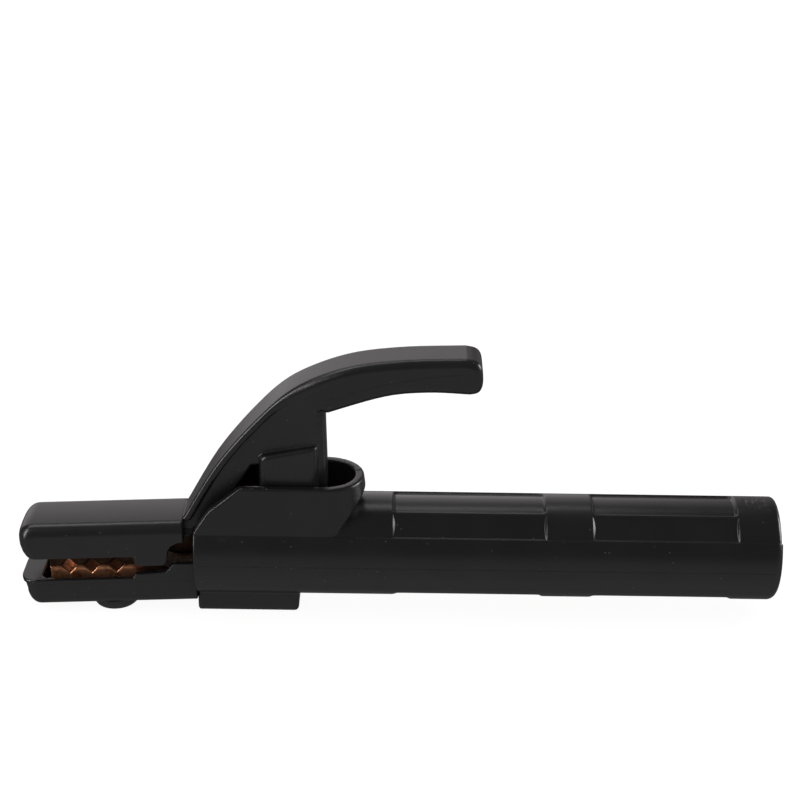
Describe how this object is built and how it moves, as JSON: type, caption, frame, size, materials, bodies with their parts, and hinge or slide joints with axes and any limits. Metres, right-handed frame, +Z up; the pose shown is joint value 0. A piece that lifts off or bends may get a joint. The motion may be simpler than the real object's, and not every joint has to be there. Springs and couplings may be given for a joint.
{
  "type": "electrode holder",
  "caption": "Hand-held welding electrode holder: spring-closed copper jaws in black insulation, squeeze lever over a spring cup, ribbed tubular grip with a screw cable socket inside.",
  "frame": {"origin": "middle of the bounding box at its base, under the foot on which the holder stands", "axes": "+X along the grip from the jaws to the cable end, +Z up through the lever, +Y away from the side that the picture shows"},
  "size_m": [0.2274, 0.0312, 0.0837],
  "materials": {
    "black_moulding": "satin-gloss glass-filled moulding",
    "copper_casting": "bright cast copper alloy",
    "zinc_steel": "dull zinc plate",
    "blackened_steel": "black oxide",
    "spring_steel": "oiled spring wire",
    "insulating_fibre": "red vulcanised fibre"
  },
  "bodies": {
    "grip": {"handle_shell": "black_moulding", "lower_tong": "copper_casting", "lower_jaw_cover": "black_moulding", "lower_cover_screw": "black_moulding", "handle_screw": "zinc_steel", "handle_screw_washer": "zinc_steel", "pivot_pin": "zinc_steel", "pivot_clip": "spring_steel", "pivot_washer_near": "zinc_steel", "pivot_washer_far": "zinc_steel", "lever_spring": "spring_steel", "spring_seat": "zinc_steel"},
    "lever": {"upper_tong": "copper_casting", "upper_jaw_cover": "black_moulding", "upper_cover_screw": "zinc_steel", "lever_shell": "black_moulding", "lever_screw": "zinc_steel", "spring_insulator": "insulating_fibre"},
    "clamp_plate": {"pressure_plate": "zinc_steel"},
    "front_screw": {"front_set_screw": "blackened_steel"},
    "rear_screw": {"rear_set_screw": "blackened_steel"}
  },
  "joints": [
    {"name": "lever_pivot", "type": "hinge", "parent": "grip", "child": "lever", "pos_m": [-0.054, 0, 0.024], "axis": [0, 1, 0], "range_deg": [0, 14], "stiffness_Nm_per_rad": 8, "springref_deg": -14.32, "deforming": ["lever_spring"]},
    {"name": "plate_travel", "type": "slide", "parent": "grip", "child": "clamp_plate", "axis": [0, 0, -1], "range_m": [-0.0007, 0.004]},
    {"name": "front_screw_travel", "type": "slide", "parent": "grip", "child": "front_screw", "axis": [0, 0, -1], "range_m": [-0.0007, 0.004]},
    {"name": "rear_screw_travel", "type": "slide", "parent": "grip", "child": "rear_screw", "axis": [0, 0, -1], "range_m": [-0.0007, 0.004]}
  ],
  "couplings": [
    {"joint": "front_screw_travel", "follows": "plate_travel", "ratio": 1},
    {"joint": "rear_screw_travel", "follows": "plate_travel", "ratio": 1}
  ]
}
